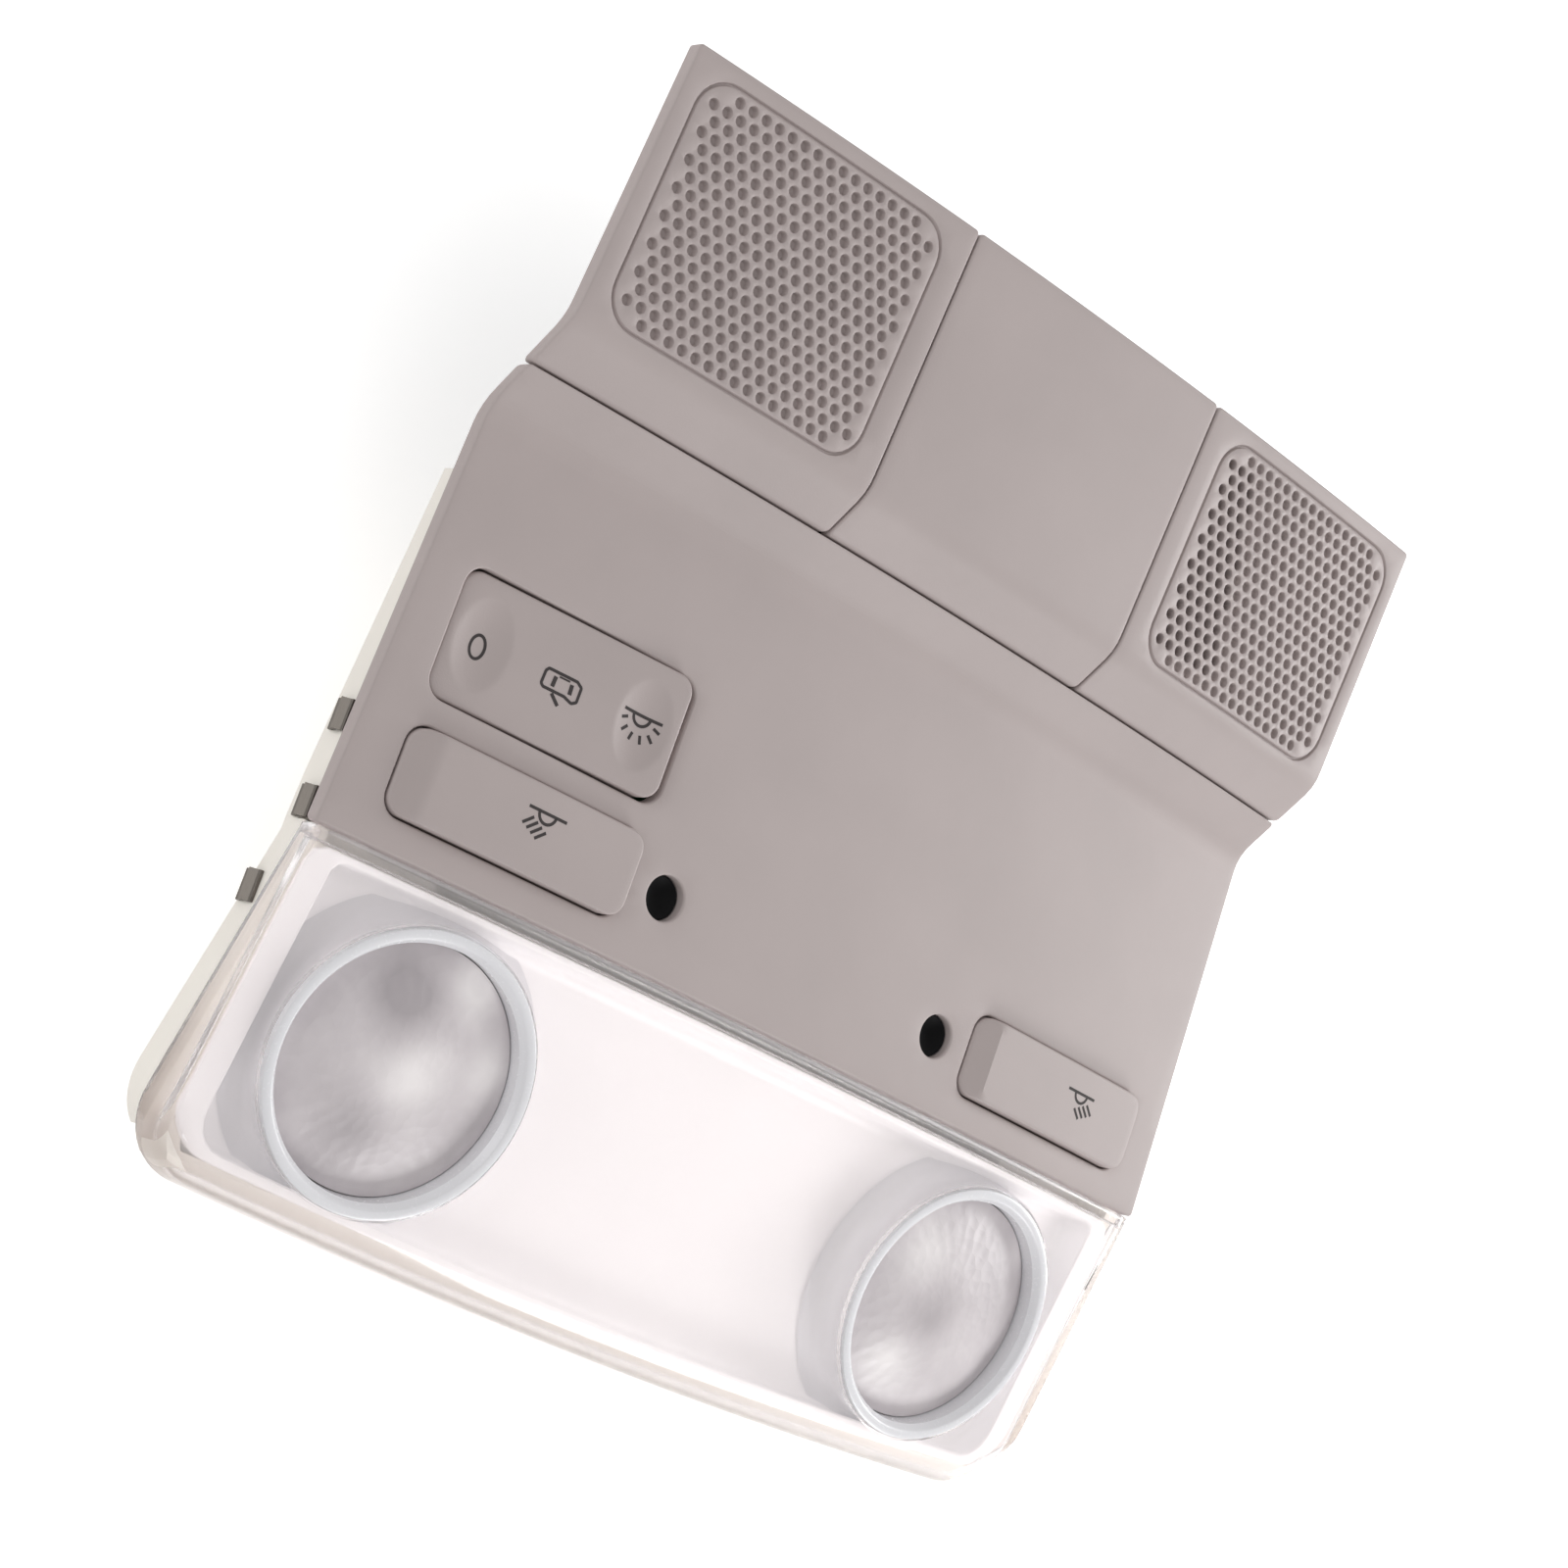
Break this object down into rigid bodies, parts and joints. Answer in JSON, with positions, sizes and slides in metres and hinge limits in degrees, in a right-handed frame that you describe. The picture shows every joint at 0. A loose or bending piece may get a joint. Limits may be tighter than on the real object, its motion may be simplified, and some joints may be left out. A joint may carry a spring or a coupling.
{
  "type": "car dome light",
  "caption": "Overhead car dome light with a clear lens bay, round reading lamps, a three-position rocker, push buttons and a raised step with perforated grilles.",
  "frame": {"origin": "on the centre line, on the flat back of the housing, under the line where the lens meets the panel", "axes": "+X across the car to the right of the face as seen with the lens below, +Y from the lens to the grilles, +Z out of the face into the cabin"},
  "size_m": [0.1924, 0.1863, 0.0564],
  "materials": {
    "panel_grey": "fine-grained moulded plastic, warm grey",
    "housing_cream": "smooth moulded plastic, cream",
    "white_plastic": "smooth bright white",
    "silver_plastic": "satin silver paint",
    "black_plastic": "smooth black",
    "clear_plastic": "clear, polished",
    "frosted_plastic": "clear with a rippled back",
    "bulb_glass": "clear glass",
    "spring_steel": "dark plated steel",
    "contact_brass": "bare sheet brass",
    "board_green": "coated board"
  },
  "bodies": {
    "console": {"main_panel": "panel_grey", "left_grille_cover": "panel_grey", "right_grille_cover": "panel_grey", "centre_cover": "panel_grey", "cover_frame": "black_plastic", "lens_cover": "clear_plastic", "diffuser_tray": "white_plastic", "left_lamp_collar": "silver_plastic", "right_lamp_collar": "silver_plastic", "left_reading_lens": "frosted_plastic", "right_reading_lens": "frosted_plastic", "left_mirror_bowl": "silver_plastic", "right_mirror_bowl": "silver_plastic", "left_reading_bulb": "bulb_glass", "right_reading_bulb": "bulb_glass", "left_bulb_socket": "black_plastic", "right_bulb_socket": "black_plastic", "courtesy_bulb": "bulb_glass", "bulb_contacts": "contact_brass", "switch_carrier": "black_plastic", "slide_switch": "spring_steel", "left_microswitch": "black_plastic", "right_microswitch": "black_plastic", "left_ambient_light": "black_plastic", "right_ambient_light": "black_plastic", "circuit_board": "board_green", "connector_socket": "black_plastic", "contact_pins": "contact_brass", "back_housing": "housing_cream", "spring_clips": "spring_steel", "housing_screws": "spring_steel", "microphone": "spring_steel", "microphone_sleeve": "black_plastic"},
    "rocker": {"main_rocker": "panel_grey"},
    "slider": {"rocker_slider": "black_plastic"},
    "left_button": {"left_reading_button": "panel_grey", "left_plunger": "white_plastic"},
    "right_button": {"right_reading_button": "panel_grey", "right_plunger": "white_plastic"}
  },
  "joints": [
    {"name": "rocker_hinge", "type": "hinge", "parent": "console", "child": "rocker", "pos_m": [-0.0628, 0.035, 0.03183], "axis": [0, 1, 0], "range_deg": [0, 8]},
    {"name": "slider_slide", "type": "slide", "parent": "console", "child": "slider", "axis": [1, 0, 0], "range_m": [-0.0014, 0]},
    {"name": "left_button_slide", "type": "slide", "parent": "console", "child": "left_button", "axis": [0, 0, -1], "range_m": [0, 0.0012], "stiffness_N_per_m": 800, "springref_m": -0.002},
    {"name": "right_button_slide", "type": "slide", "parent": "console", "child": "right_button", "axis": [0, 0, -1], "range_m": [0, 0.0012], "stiffness_N_per_m": 800, "springref_m": -0.002}
  ],
  "couplings": [
    {"joint": "slider_slide", "follows": "rocker_hinge", "m_per_rad": -0.01}
  ]
}
